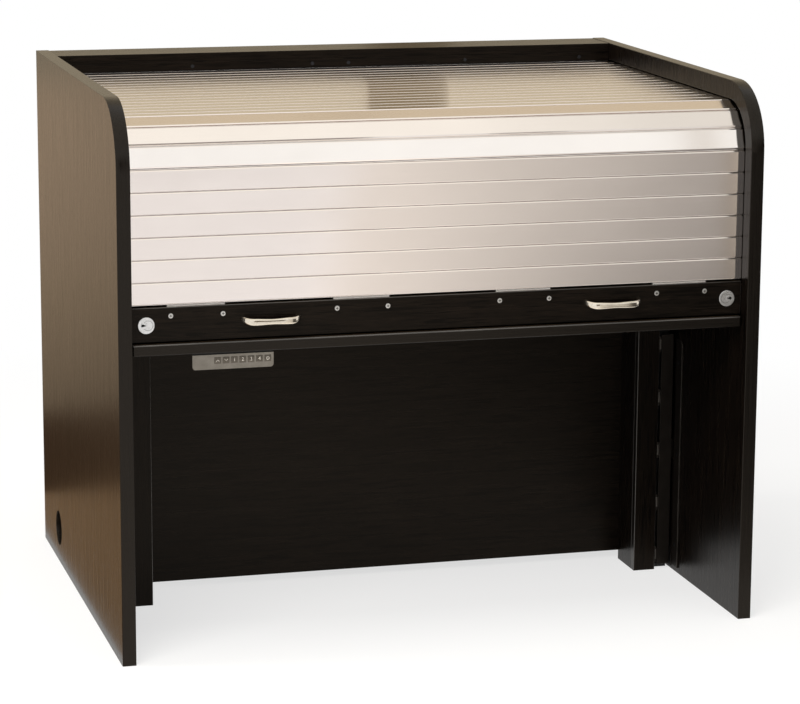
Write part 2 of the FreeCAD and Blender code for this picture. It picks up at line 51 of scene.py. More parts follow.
slotOf = {row["node"]: row["material_slot"] for row in record["subparts"]}
scene = bpy.context.scene
scene.view_settings.view_transform = "Standard"
mm = 0.001
flatEnough = 0.9999
faceOn = 0.99
sharpCorner = math.radians(40)
joinDistance = 0.002 * mm
levelAngle = math.radians(0.5)
print("frame loaded:", len(nodes), "nodes")


# camera and studio

photo = dict(width=800, focalPixels=2990.8, sensor=36.0, azimuth=-15.452, elevation=11.805, roll=0.324,
             place=(-1.4878, -5.5075, 1.6454))


def addCamera():
    azimuth = math.radians(photo["azimuth"])
    elevation = math.radians(photo["elevation"])
    roll = math.radians(photo["roll"])
    back = Vector((math.sin(azimuth) * math.cos(elevation), -math.cos(azimuth) * math.cos(elevation),
                   math.sin(elevation)))
    right = (-back).cross(Vector((0, 0, 1))).normalized()
    up = back.cross(right)
    rolledRight = right * math.cos(roll) + up * math.sin(roll)
    rolledUp = up * math.cos(roll) - right * math.sin(roll)
    lensData = bpy.data.cameras.new("photoCamera")
    lensData.sensor_width = photo["sensor"]
    lensData.lens = photo["focalPixels"] / photo["width"] * photo["sensor"]
    camera = bpy.data.objects.new("photoCamera", lensData)
    turn = Matrix((rolledRight, rolledUp, back)).transposed().to_4x4()
    camera.matrix_world = Matrix.Translation(photo["place"]) @ turn
    scene.collection.objects.link(camera)
    scene.camera = camera


studio = dict(floorSize=40.0, floorTint=(0.90, 0.895, 0.885, 1), floorRough=0.9, nearGlow=0.68, farGlow=1.0,
              shadowReach=(0.9, 2.4), worldFill=0.34, worldTint=(1.0, 0.975, 0.94, 1))
lamps = {
    "keySoftbox": dict(place=(-2.8, -3.6, 4.0), aim=(0.0, -0.2, 0.7), size=(3.2, 2.4), watts=230,
                       tint=(1, 0.97, 0.93)),
    "topSoftbox": dict(place=(0.0, -0.9, 4.6), aim=(0.0, -0.2, 0.8), size=(3.0, 2.0), watts=110,
                       tint=(1, 0.98, 0.95)),
    "sideSoftbox": dict(place=(-4.6, 0.6, 2.2), aim=(-0.6, 0.0, 0.6), size=(1.6, 2.6), watts=170,
                        tint=(1, 0.95, 0.88)),
}
# what metal and varnish mirror, corners in metres
# fade gives the axis, where it starts and ends along it, and the share of the glow that is left
reflectors = {
    "ceilingCard": dict(corners=[(-3.4, -3.8, 4.5), (3.4, -3.8, 4.5), (3.4, 0.6, 4.5), (-3.4, 0.6, 4.5)],
                        glow=(1.09, 1.09, 1.03), fade=("x", 1.1, 1.8, 0.80)),
    "frontCard": dict(corners=[(-4, -5.2, 2.3), (5, -5.2, 2.3), (5, -5.2, 4.6), (-4, -5.2, 4.6)],
                      glow=(1.13, 1.18, 1.18), fade=("x", 2.80, 2.83, 0.78)),
    "cameraSide": dict(corners=[(-0.6, -5.6, 0.8), (1.25, -5.6, 0.8), (1.25, -5.6, 2.3), (-0.6, -5.6, 2.3)],
                       glow=(0.16, 0.12, 0.085)),
    "cameraPost": dict(corners=[(1.72, -5.6, 0.8), (2.0, -5.6, 0.8), (2.0, -5.6, 2.3), (1.72, -5.6, 2.3)],
                       glow=(0.16, 0.12, 0.085)),
    "rearWall": dict(corners=[(-7, 3.6, 0.6), (7, 3.6, 0.6), (7, 3.6, 6.5), (-7, 3.6, 6.5)],
                     glow=(0.67, 0.57, 0.41)),
    "wallFoot": dict(corners=[(-7, 3.6, 0), (7, 3.6, 0), (7, 3.6, 0.6), (-7, 3.6, 0.6)],
                     glow=(1.05, 0.765, 0.515), fade=("z", 0.45, 0.0, 0.80)),
    "rearPost": dict(corners=[(0.91, 3.55, 0), (1.17, 3.55, 0), (1.17, 3.55, 4), (0.91, 3.55, 4)],
                     glow=(0.27, 0.205, 0.12)),
    "rearFloor": dict(corners=[(-7, 1.58, 0.004), (7, 1.58, 0.004), (7, 3.6, 0.004), (-7, 3.6, 0.004)],
                      glow=(0.82, 0.60, 0.39), fade=("y", 3.6, 1.58, 0.56)),
    # a dark band on the floor behind, seen only in reflections
    "darkFloorBand": dict(corners=[(-7, 0.80, 0.004), (7, 0.80, 0.004), (7, 1.58, 0.004), (-7, 1.58, 0.004)],
                     glow=(0.12, 0.066, 0.034)),
    "nearFloor": dict(corners=[(-7, -0.7, 0.004), (-0.61, -0.7, 0.004), (-0.61, 0.80, 0.004),
                               (-7, 0.80, 0.004)],
                      glow=(0.56, 0.345, 0.18), fade=("y", 0.80, -0.5, 0.80)),
    "frontFlag": dict(corners=[(0.51, -3.4, 0), (1.735, -3.4, 0), (1.735, -3.4, 1.4), (0.85, -3.4, 1.4)],
                      glow=(0.97, 0.935, 0.88), fade=("x", 0.51, 2.13, 0.28)),
    "flagEdge": dict(corners=[(1.735, -3.4, 0), (1.757, -3.4, 0), (1.757, -3.4, 1.4), (1.735, -3.4, 1.4)],
                     glow=(0.24, 0.195, 0.14)),
    "sideStrip": dict(corners=[(1.757, -3.4, 0), (1.82, -3.4, 0), (1.82, -3.4, 4.2), (1.757, -3.4, 4.2)],
                      glow=(0.62, 0.575, 0.50)),
    "farFlag": dict(corners=[(1.82, -3.4, 0), (6, -3.4, 0), (6, -3.4, 1.6), (1.82, -3.4, 1.6)],
                    glow=(0.10, 0.09, 0.08)),
    "frontFloorFlag": dict(corners=[(-0.20, -0.7, 0.004), (6, -0.7, 0.004), (6, -3.4, 0.004),
                                    (0.51, -3.4, 0.004)],
                           glow=(1.30, 1.25, 1.18), fade=("x", 0.15, 1.25, 0.05)),
}


def seenDirectly(tree):
    # one for rays that show the background itself: camera, gloss and glass
    path = tree.nodes.new("ShaderNodeLightPath")
    either = tree.nodes.new("ShaderNodeMath")
    either.operation = "MAXIMUM"
    tree.links.new(path.outputs["Is Camera Ray"], either.inputs[0])
    tree.links.new(path.outputs["Is Glossy Ray"], either.inputs[1])
    anyOf = tree.nodes.new("ShaderNodeMath")
    anyOf.operation = "MAXIMUM"
    tree.links.new(either.outputs[0], anyOf.inputs[0])
    tree.links.new(path.outputs["Is Transmission Ray"], anyOf.inputs[1])
    return anyOf.outputs[0]


def addStudio():
    world = bpy.data.worlds.new("paleStudio")
    world.use_nodes = True
    scene.world = world
    tree = world.node_tree
    fill = tree.nodes["Background"]
    fill.inputs["Color"].default_value = studio["worldTint"]
    fill.inputs["Strength"].default_value = studio["worldFill"]
    white = tree.nodes.new("ShaderNodeBackground")
    white.inputs["Color"].default_value = (1, 1, 1, 1)
    mix = tree.nodes.new("ShaderNodeMixShader")
    tree.links.new(seenDirectly(tree), mix.inputs[0])
    tree.links.new(fill.outputs[0], mix.inputs[1])
    tree.links.new(white.outputs[0], mix.inputs[2])
    tree.links.new(mix.outputs[0], tree.nodes["World Output"].inputs["Surface"])
    for name, lamp in lamps.items():
        data = bpy.data.lights.new(name, "AREA")
        data.shape = "RECTANGLE"
        data.size, data.size_y = lamp["size"]
        data.energy = lamp["watts"]
        data.color = lamp["tint"]
        light = bpy.data.objects.new(name, data)
        light.location = lamp["place"]
        aim = Vector(lamp["aim"]) - Vector(lamp["place"])
        light.rotation_euler = aim.to_track_quat("-Z", "Y").to_euler()
        light.visible_glossy = False
        scene.collection.objects.link(light)
    bm = bmesh.new()
    bmesh.ops.create_grid(bm, x_segments=1, y_segments=1, size=studio["floorSize"] / 2)
    floor = meshObject("studioFloor", bm)
    floor.data.materials.append(floorPaint())
    for name in reflectors:
        addReflector(name)


def floorPaint():
    # pale paint that keeps the shadow near the desk and turns plain white further out
    material, tree, shader = newMaterial("paleFloor")
    shader.inputs["Base Color"].default_value = studio["floorTint"]
    shader.inputs["Roughness"].default_value = studio["floorRough"]
    place = tree.nodes.new("ShaderNodeTexCoord")
    away = tree.nodes.new("ShaderNodeVectorMath")
    away.operation = "LENGTH"
    tree.links.new(place.outputs["Object"], away.inputs[0])
    share = ranged(tree, away.outputs["Value"], *studio["shadowReach"],
                   studio["nearGlow"], studio["farGlow"])
    glow = tree.nodes.new("ShaderNodeEmission")
    mix = tree.nodes.new("ShaderNodeMixShader")
    tree.links.new(combined(tree, "MULTIPLY", seenDirectly(tree), share), mix.inputs[0])
    tree.links.new(shader.outputs[0], mix.inputs[1])
    tree.links.new(glow.outputs[0], mix.inputs[2])
    tree.links.new(mix.outputs[0], tree.nodes["Material Output"].inputs["Surface"])
    return material


def addReflector(name):
    # a glowing card that only glossy surfaces see
    card = reflectors[name]
    bm = bmesh.new()
    bm.faces.new([bm.verts.new(corner) for corner in card["corners"]])
    piece = meshObject(name, bm)
    material, tree = newMaterial(name)[:2]
    glow = tree.nodes.new("ShaderNodeEmission")
    glow.inputs["Color"].default_value = (*card["glow"], 1)
    if "fade" in card:
        place = tree.nodes.new("ShaderNodeTexCoord")
        split = tree.nodes.new("ShaderNodeSeparateXYZ")
        tree.links.new(place.outputs["Object"], split.inputs[0])
        axis, full, faded, rest = card["fade"]
        strength = ranged(tree, split.outputs[axis.upper()], full, faded, 1.0, rest)
        tree.links.new(strength, glow.inputs["Strength"])
    tree.links.new(glow.outputs[0], tree.nodes["Material Output"].inputs["Surface"])
    piece.data.materials.append(material)
    for kind in ("camera", "diffuse", "transmission", "volume_scatter", "shadow"):
        setattr(piece, "visible_" + kind, False)


# small helpers

def meshObject(name, bm):
    mesh = bpy.data.meshes.new(name)
    bm.to_mesh(mesh)
    bm.free()
    if "custom_normal" in mesh.attributes:
        mesh.attributes.remove(mesh.attributes["custom_normal"])
    piece = bpy.data.objects.new(name, mesh)
    scene.collection.objects.link(piece)
    return piece


def newMaterial(name):
    material = bpy.data.materials.new(name)
    material.use_nodes = True
    tree = material.node_tree
    return material, tree, tree.nodes["Principled BSDF"]


def merged(node):
    # a copy of the node's mesh with its loose triangles joined into whole faces
    bm = bmesh.new()
    bm.from_mesh(nodes[node].data)
    bmesh.ops.remove_doubles(bm, verts=bm.verts, dist=joinDistance)
    bmesh.ops.dissolve_limit(bm, angle_limit=levelAngle, verts=bm.verts, edges=bm.edges)
    return bm


def softened(node, name, width, segments=2, shortest=0.0):
    # outer corners eased so that they catch the light
    bm = merged(node)
    corners = [edge for edge in bm.edges if edge.calc_length() > shortest and len(edge.link_faces) == 2
               and edge.calc_face_angle_signed() > sharpCorner]
    bmesh.ops.bevel(bm, geom=corners, offset=width, offset_type="OFFSET", segments=segments, profile=0.5,
                    affect="EDGES", material=-1, clamp_overlap=True)
    piece = meshObject(name, bm)
    standFor(piece, node)
    return piece


def standFor(piece, node):
    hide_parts(node)
    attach(piece, bodyOf[node])


def smoothShade(piece, angle, outward=None):
    # rounded stretches shade smoothly, flat faces stay flat
    piece.data.set_sharp_from_angle(angle=math.radians(angle))
    for face in piece.data.polygons:
        if outward is None:
            squareness = max(abs(part) for part in face.normal)
        else:
            squareness = abs(face.normal.dot(outward))
        face.use_smooth = squareness < flatEnough


def paint(piece, *materials):
    piece.data.materials.clear()
    for material in materials:
        piece.data.materials.append(material)


# finishes

# noise gathers round a half, so this stretch of it is drawn out to the whole range
noiseMiddle = (0.3, 0.7)


def stretched(tree, along, across, axis, detail=6.0, roughness=0.6, shift=(0, 0, 0)):
    # noise drawn out along one axis of the object, in cycles per metre
    coordinates = tree.nodes.new("ShaderNodeTexCoord")
    mapping = tree.nodes.new("ShaderNodeMapping")
    mapping.inputs["Scale"].default_value = [along if i == "xyz".index(axis) else across for i in range(3)]
    mapping.inputs["Location"].default_value = shift
    noise = tree.nodes.new("ShaderNodeTexNoise")
    noise.inputs["Scale"].default_value = 1.0
    noise.inputs["Detail"].default_value = detail
    noise.inputs["Roughness"].default_value = roughness
    tree.links.new(coordinates.outputs["Object"], mapping.inputs["Vector"])
    tree.links.new(mapping.outputs["Vector"], noise.inputs["Vector"])
    return noise.outputs["Fac"]


def ranged(tree, value, fromLow, fromHigh, toLow, toHigh):
    node = tree.nodes.new("ShaderNodeMapRange")
    node.inputs["From Min"].default_value = fromLow
    node.inputs["From Max"].default_value = fromHigh
    node.inputs["To Min"].default_value = toLow
    node.inputs["To Max"].default_value = toHigh
    tree.links.new(value, node.inputs["Value"])
    return node.outputs["Result"]


def combined(tree, operation, first, second):
    node = tree.nodes.new("ShaderNodeMath")
    node.operation = operation
    for socket, value in zip(node.inputs, (first, second)):
        if isinstance(value, (int, float)):
            socket.default_value = value
        else:
            tree.links.new(value, socket)
    return node.outputs[0]


def weighed(tree, first, second, share):
    # the first value by its share and the second by the rest
    return combined(tree, "ADD", combined(tree, "MULTIPLY", first, share),
                    combined(tree, "MULTIPLY", second, 1 - share))


def blendColour(tree, factor, low, high):
    node = tree.nodes.new("ShaderNodeMix")
    node.data_type = "RGBA"
    node.inputs["A"].default_value = (*low, 1)
    node.inputs["B"].default_value = (*high, 1)
    tree.links.new(factor, node.inputs["Factor"])
    return node.outputs["Result"]


def addBump(tree, shader, height, distance):
    bump = tree.nodes.new("ShaderNodeBump")
    bump.inputs["Distance"].default_value = distance
    bump.inputs["Strength"].default_value = 1.0
    tree.links.new(height, bump.inputs["Height"])
    tree.links.new(bump.outputs["Normal"], shader.inputs["Normal"])


dust = dict(colour=(0.030, 0.020, 0.011), facing=(0.965, 1.0), share=0.50, patches=(14.0, 30.0),
            patchRange=(0.25, 0.7), thinnest=0.5)


def dustedAndTopLit(tree, colour):
    # upward faces are painted a little paler and warmer: dust and handling, and painted light falling from
    # above
    facing = tree.nodes.new("ShaderNodeNewGeometry")
    split = tree.nodes.new("ShaderNodeSeparateXYZ")
    tree.links.new(facing.outputs["Normal"], split.inputs[0])
    upward = ranged(tree, split.outputs["Z"], *dust["facing"], 0.0, dust["share"])
    patches = stretched(tree, *dust["patches"], "x", detail=3.0)
    cover = ranged(tree, patches, *dust["patchRange"], dust["thinnest"], 1.0)
    mix = tree.nodes.new("ShaderNodeMix")
    mix.data_type = "RGBA"
    mix.inputs["B"].default_value = (*dust["colour"], 1)
    tree.links.new(combined(tree, "MULTIPLY", upward, cover), mix.inputs["Factor"])
    tree.links.new(colour, mix.inputs["A"])
    return mix.outputs["Result"]


veneer = dict(dark=(0.0004, 0.0003, 0.0003), light=(0.0098, 0.0066, 0.0046), rough=(0.25, 0.33), shine=0.12,
              tint=(1.0, 0.86, 0.72, 1), poreDepth=0.05 * mm, figure=46.0, figureShare=0.16, poreShare=0.7,
              broad=(1.1, 4.5), streaks=(5.0, 170.0), pores=(28.0, 900.0), dashes=(15.0, 300.0))


def stainedOak(name, axis, shift=(0, 0, 0)):
    # black stained oak: drawn-out figure, fine streaks and open pores along the grain
    material, tree, shader = newMaterial(name)
    broad = stretched(tree, *veneer["broad"], axis, detail=2.0, shift=shift)
    rings = combined(tree, "SINE", combined(tree, "MULTIPLY", broad, veneer["figure"]), 0.0)
    figure = ranged(tree, rings, -1.0, 1.0, 0.0, 1.0)
    streaks = stretched(tree, *veneer["streaks"], axis, detail=8.0, roughness=0.7, shift=shift)
    pores = stretched(tree, *veneer["pores"], axis, detail=3.0, roughness=0.6, shift=shift)
    dashes = stretched(tree, *veneer["dashes"], axis, detail=2.0, roughness=0.5, shift=shift)
    closed = combined(tree, "MULTIPLY", ranged(tree, pores, 0.40, 0.58, 0.4, 1.0),
                      ranged(tree, dashes, 0.37, 0.46, 0.15, 1.0))
    lines = ranged(tree, streaks, 0.32, 0.70, 0.25, 1.0)
    tone = combined(tree, "MULTIPLY", weighed(tree, figure, lines, veneer["figureShare"]), closed)
    colour = blendColour(tree, tone, veneer["dark"], veneer["light"])
    tree.links.new(dustedAndTopLit(tree, colour), shader.inputs["Base Color"])
    tree.links.new(ranged(tree, lines, 1.0, 0.0, *veneer["rough"]), shader.inputs["Roughness"])
    shader.inputs["Specular IOR Level"].default_value = veneer["shine"]
    shader.inputs["Specular Tint"].default_value = veneer["tint"]
    addBump(tree, shader, weighed(tree, closed, tone, veneer["poreShare"]), veneer["poreDepth"])
    return material


bandings = {
    "band": dict(dark=(0.0012, 0.0009, 0.0008), light=(0.0036, 0.0028, 0.0022), rough=(0.24, 0.34),
                 shine=0.28, tint=(1.0, 0.86, 0.72, 1), streaks=(6.0, 260.0), depth=0.02 * mm, dusty=True),
    # the arris is painted lighter than the banding: wear, and a painted highlight on the rounded edges that
    # don't face down
    "arrisWearAndHighlight": dict(dark=(0.0060, 0.0053, 0.0048), light=(0.0460, 0.0410, 0.0370), rough=(0.30, 0.42),
                  shine=1.0, tint=(1.0, 0.95, 0.90, 1), streaks=(6.0, 90.0), depth=0.02 * mm, dusty=False),
}


def edgeBand(kind, axis):
    # the strip glued on the boards' edges, smoother than the faces, and the arris painted lighter: hand
    # wear and a painted highlight
    choice = bandings[kind]
    material, tree, shader = newMaterial(kind + axis.upper())
    streaks = stretched(tree, *choice["streaks"], axis, detail=4.0)
    tone = ranged(tree, streaks, *noiseMiddle, 0.0, 1.0)
    colour = blendColour(tree, tone, choice["dark"], choice["light"])
    if choice["dusty"]:
        colour = dustedAndTopLit(tree, colour)
    tree.links.new(colour, shader.inputs["Base Color"])
    tree.links.new(ranged(tree, tone, 0.0, 1.0, *choice["rough"]), shader.inputs["Roughness"])
    shader.inputs["Specular IOR Level"].default_value = choice["shine"]
    shader.inputs["Specular Tint"].default_value = choice["tint"]
    addBump(tree, shader, tone, choice["depth"])
    return material


anodised = {
    "slatMetal": dict(dark=(0.845, 0.765, 0.72), light=(0.885, 0.805, 0.76), rough=(0.105, 0.135)),
    # the three darker entries below are the slat metal with painted shade: in the joints, on the roof
    # slats' lower lips, and lighter in the joints that open round the bend
    "slatJointShade": dict(dark=(0.016, 0.014, 0.012), light=(0.034, 0.030, 0.026), rough=(0.40, 0.52)),
    "slatLipShade": dict(dark=(0.030, 0.027, 0.023), light=(0.060, 0.054, 0.047), rough=(0.34, 0.46)),
    "slatReturnShade": dict(dark=(0.46, 0.43, 0.40), light=(0.58, 0.545, 0.51), rough=(0.30, 0.42)),
}
drawnLines = dict(depth=0.0012 * mm, blur=1.0, quarterTurn=0.25, lines=(3.0, 1500.0), wiping=(7.0, 16.0),
                  lineShare=0.4)


def satinAluminium(name):
    # drawn along the slat, so reflections smear across it, with faint wiping marks
    choice = anodised[name]
    material, tree, shader = newMaterial(name)
    drawn = stretched(tree, *drawnLines["lines"], "x", detail=4.0, roughness=0.65)
    wiped = stretched(tree, *drawnLines["wiping"], "x", detail=5.0, roughness=0.6)
    lines = ranged(tree, drawn, *noiseMiddle, 0.0, 1.0)
    marks = ranged(tree, wiped, 0.35, 0.75, 0.0, 1.0)
    tone = weighed(tree, lines, marks, drawnLines["lineShare"])
    tree.links.new(blendColour(tree, tone, choice["dark"], choice["light"]), shader.inputs["Base Color"])
    tree.links.new(ranged(tree, tone, 1.0, 0.0, *choice["rough"]), shader.inputs["Roughness"])
    shader.inputs["Metallic"].default_value = 1.0
    shader.inputs["Anisotropic"].default_value = drawnLines["blur"]
    shader.inputs["Anisotropic Rotation"].default_value = drawnLines["quarterTurn"]
    along = tree.nodes.new("ShaderNodeCombineXYZ")
    along.inputs["X"].default_value = 1.0
    tree.links.new(along.outputs[0], shader.inputs["Tangent"])
    addBump(tree, shader, lines, drawnLines["depth"])
    return material


metals = {
    "satinNickel": dict(dark=(0.66, 0.58, 0.47), light=(0.84, 0.77, 0.66), rough=(0.10, 0.18), fine=420.0,
                        depth=0.008 * mm),
    "zincPlate": dict(dark=(0.50, 0.48, 0.45), light=(0.72, 0.70, 0.67), rough=(0.24, 0.40), fine=600.0,
                      depth=0.012 * mm),
    "padPlate": dict(dark=(0.19, 0.170, 0.143), light=(0.27, 0.245, 0.21), rough=(0.30, 0.44), fine=900.0,
                     depth=0.010 * mm),
    "hingeSteel": dict(dark=(0.86, 0.81, 0.77), light=(0.98, 0.94, 0.90), rough=(0.50, 0.62), fine=600.0,
                       depth=0.008 * mm),
    "lockPlate": dict(dark=(0.55, 0.54, 0.53), light=(0.92, 0.91, 0.90), rough=(0.22, 0.38), fine=380.0,
                      depth=0.016 * mm),
    # dark ring metal: painted shade of the gap round the lock plug
    "lockRingShade": dict(dark=(0.20, 0.195, 0.19), light=(0.34, 0.335, 0.33), rough=(0.35, 0.50), fine=500.0,
                       depth=0.010 * mm),
    "blackScrew": dict(dark=(0.020, 0.020, 0.022), light=(0.060, 0.060, 0.065), rough=(0.30, 0.45),
                       fine=800.0, depth=0.010 * mm),
}
plating = dict(clouds=60.0, fineShare=0.5)
paints = {
    "columnPaint": dict(dark=(0.05, 0.05, 0.05), light=(0.09, 0.09, 0.09), rough=(0.45, 0.6), grain=700.0,
                        depth=0.03 * mm),
    "blackPlastic": dict(dark=(0.0030, 0.0024, 0.0020), light=(0.0066, 0.0053, 0.0044), rough=(0.34, 0.48),
                         tint=(1.0, 0.86, 0.74, 1), grain=2600.0, depth=0.03 * mm),
    # black plastic painted lighter for its rounded edges: painted highlight
    "plasticEdgeHighlight": dict(dark=(0.030, 0.026, 0.022), light=(0.075, 0.066, 0.057), rough=(0.28, 0.40),
                          grain=1200.0, depth=0.01 * mm),
    "padBlack": dict(dark=(0.0075, 0.0065, 0.0058), light=(0.0135, 0.0118, 0.0105), rough=(0.30, 0.42),
                     grain=2600.0, depth=0.02 * mm),
    "keyPlastic": dict(dark=(0.085, 0.073, 0.058), light=(0.130, 0.112, 0.092), rough=(0.34, 0.46),
                       grain=3000.0, depth=0.01 * mm),
    "keyMark": dict(dark=(0.60, 0.56, 0.50), light=(0.72, 0.68, 0.62), rough=(0.4, 0.55), grain=3000.0,
                    depth=0.004 * mm),
    # painted shade for recesses and the keyhole
    "darkHollow": dict(dark=(0.002, 0.002, 0.002), light=(0.006, 0.006, 0.006), rough=(0.6, 0.8),
                       grain=900.0, depth=0.01 * mm),
}
paintSkin = dict(wear=30.0, shine=0.2, tint=(1, 1, 1, 1))


def platedMetal(name):
    # fine grain and cloudy plating
    choice = metals[name]
    material, tree, shader = newMaterial(name)
    fine = stretched(tree, choice["fine"], choice["fine"], "x", detail=4.0)
    cloudy = stretched(tree, plating["clouds"], plating["clouds"], "x", detail=3.0)
    tone = ranged(tree, weighed(tree, fine, cloudy, plating["fineShare"]), *noiseMiddle, 0.0, 1.0)
    tree.links.new(blendColour(tree, tone, choice["dark"], choice["light"]), shader.inputs["Base Color"])
    tree.links.new(ranged(tree, tone, 1.0, 0.0, *choice["rough"]), shader.inputs["Roughness"])
    shader.inputs["Metallic"].default_value = 1.0
    addBump(tree, shader, fine, choice["depth"])
    return material


def grainedPaint(name):
    # paint and moulded plastic: a fine skin texture with cloudy handling wear
    choice = paints[name]
    material, tree, shader = newMaterial(name)
    grain = stretched(tree, choice["grain"], choice["grain"], "x", detail=2.0)
    worn = stretched(tree, paintSkin["wear"], paintSkin["wear"], "x", detail=4.0)
    tone = ranged(tree, worn, *noiseMiddle, 0.0, 1.0)
    tree.links.new(blendColour(tree, tone, choice["dark"], choice["light"]), shader.inputs["Base Color"])
    tree.links.new(ranged(tree, tone, 0.0, 1.0, *choice["rough"]), shader.inputs["Roughness"])
    shader.inputs["Specular IOR Level"].default_value = paintSkin["shine"]
    shader.inputs["Specular Tint"].default_value = choice.get("tint", paintSkin["tint"])
    addBump(tree, shader, grain, choice["depth"])
    return material


addCamera()
addStudio()
oak = {
    "z": stainedOak("oakUpright", "z"),
    "x": stainedOak("oakLevel", "x", shift=(3.1, 1.7, 0.4)),
}
band = {axis: edgeBand("band", axis) for axis in "xz"}
arrisWearAndHighlight = {axis: edgeBand("arrisWearAndHighlight", axis) for axis in "xz"}
slatMetal = satinAluminium("slatMetal")
slatJointShade = satinAluminium("slatJointShade")
slatLipShade = satinAluminium("slatLipShade")
slatReturnShade = satinAluminium("slatReturnShade")
nickel = platedMetal("satinNickel")
zinc = platedMetal("zincPlate")
padMetal = platedMetal("padPlate")
hingeSteel = platedMetal("hingeSteel")
lockMetal = platedMetal("lockPlate")
lockRingShade = platedMetal("lockRingShade")
blackScrew = platedMetal("blackScrew")
columnPaint = grainedPaint("columnPaint")
blackPlastic = grainedPaint("blackPlastic")
plasticEdgeHighlight = grainedPaint("plasticEdgeHighlight")
padBlack = grainedPaint("padBlack")
keyPlastic = grainedPaint("keyPlastic")
keyMark = grainedPaint("keyMark")
darkHollow = grainedPaint("darkHollow")
print("studio and finishes ready")


# boards of the carcass

boards = {
    "left_side_panel": dict(grain="z", faceAxis=0, ease=1.2, withoutArrisHighlight=True),
    "right_side_panel": dict(grain="z", faceAxis=0, ease=1.2, withoutArrisHighlight=True),
    "left_duct_front": dict(grain="z", faceAxis=1, ease=1.0),
    "left_duct_side": dict(grain="z", faceAxis=0, ease=0.8),
    "right_duct_stile": dict(grain="z", faceAxis=1, ease=1.0),
    "right_duct_side": dict(grain="z", faceAxis=0, ease=0.8),
    "worktop": dict(grain="x", faceAxis=2, ease=2.4),
    "modesty_panel": dict(grain="x", faceAxis=1, ease=0.8),
    "back_panel": dict(grain="x", faceAxis=1, ease=0.8),
    "inner_back_panel": dict(grain="x", faceAxis=1, ease=0.8),
    "rear_cap": dict(grain="x", faceAxis=2, ease=1.0, plain=True),
    "rear_fascia": dict(grain="x", faceAxis=1, ease=0.8, plain=True),
    "worktop_cleats": dict(grain="x", faceAxis=2, ease=0.8),
    "tambour_rail": dict(grain="x", faceAxis=1, ease=2.0, shortest=60.0),
}
edging = dict(segments=3, arrisFrom=0.05, lowest=-0.05, crease=34)


def veneeredBoard(node):
    # veneer on the two faces, banding on the edges, and between them an arris painted lighter for wear and
    # as a painted highlight
    board = boards[node]
    grain = board["grain"]
    shortest = board.get("shortest", 0.0) * mm
    piece = softened(node, node + "_veneered", board["ease"] * mm, edging["segments"], shortest)
    paint(piece, oak[grain], band[grain], arrisWearAndHighlight[grain])
    for polygon in piece.data.polygons:
        facing = abs(polygon.normal[board["faceAxis"]])
        # rounded edges that don't face down get the lighter arris: wear and a painted highlight
        eased = edging["arrisFrom"] < facing < faceOn and polygon.normal.z > edging["lowest"]
        if facing > faceOn or "plain" in board:
            polygon.material_index = 0
        elif eased and "withoutArrisHighlight" not in board:
            polygon.material_index = 2
        else:
            polygon.material_index = 1
    smoothShade(piece, edging["crease"])


for node in boards:
    veneeredBoard(node)
print("boards veneered:", len(boards))


# tambour

slat = dict(skin=1.6 * mm, outermost=0.16 * mm, topLip=2.0 * mm, bottomLip=0.45 * mm, roofLip=1.2 * mm,
            roofBack=4.0 * mm, bendLip=2.0 * mm, shaded=0.3, endGap=0.2 * mm, longEdge=100 * mm, crease=24)
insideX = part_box("rear_cap")[1][0]
slatNodes = sorted(node for node in nodes if "slat_" in node or "slats_" in node)


def tambourSlat(node):
    # bright outer skin with a sloping top lip; the joints and the downward lower lips are painted dark as
    # painted shade, lighter in the joints that open up round the bend
    bm = merged(node)
    skin = max(bm.faces, key=lambda face: face.calc_area())
    outward = skin.normal.copy()
    downward = Vector((1, 0, 0)).cross(outward)
    level = skin.calc_center_median().dot(outward)
    onArc = node.startswith("arc")
    onRoof = node.startswith("top")
    bend = onArc or node == "top_slats_1"
    inJoint = 2 if onArc else 1
    skins = []
    for face in bm.faces:
        depth = level - face.calc_center_median().dot(outward)
        face.material_index = 0 if depth < slat["skin"] else inJoint
        if depth < slat["outermost"] and face.normal.dot(outward) > faceOn:
            skins.append(face)
    upper = []
    lower = []
    for face in skins:
        along = [edge for edge in face.edges
                 if abs((edge.verts[1].co - edge.verts[0].co).x) > slat["longEdge"]]
        along.sort(key=lambda edge: edge.verts[0].co.dot(downward))
        upper += along[0].verts
        lower.append(along[-1])
    back = slat["roofBack"] if onRoof else slat["topLip"]
    bmesh.ops.translate(bm, verts=upper, vec=downward * back)
    if node.startswith("front"):
        for vert in bm.verts:
            vert.co.x = math.copysign(insideX - slat["endGap"], vert.co.x)
    if bend:
        opened = max(lower, key=lambda edge: edge.verts[0].co.dot(downward))
        lower.remove(opened)
        bmesh.ops.translate(bm, verts=list(opened.verts), vec=-downward * slat["bendLip"])
    lip = slat["roofLip"] if onRoof else slat["bottomLip"]
    bmesh.ops.bevel(bm, geom=lower, offset=lip, offset_type="OFFSET", segments=2, profile=0.5,
                    affect="EDGES", material=-1, clamp_overlap=True)
    bm.normal_update()
    # lower lips that face down take the painted shade of the joints, except the lip that opens round the
    # bend
    for face in bm.faces:
        openedLip = bend and face.normal.dot(outward) > slat["shaded"]
        if face.normal.dot(downward) > slat["shaded"] and not openedLip:
            face.material_index = inJoint
    piece = meshObject(node + "_anodised", bm)
    standFor(piece, node)
    paint(piece, slatMetal, slatLipShade if onRoof else slatJointShade, slatReturnShade)
    smoothShade(piece, slat["crease"], outward)


for node in slatNodes:
    tambourSlat(node)
print("slats finished:", len(slatNodes))


# bow handles

bow = dict(feet=100 * mm, run=18 * mm, depth=18.6 * mm, lift=5.5 * mm, bend=math.radians(84),
           foot=(4.8 * mm, 4.8 * mm), elbow=(4.6 * mm, 6.3 * mm), waist=(3.7 * mm, 5.0 * mm),
           lean=math.radians(6), square=3.3, bendRings=10, barRings=10, sides=36, crease=50)


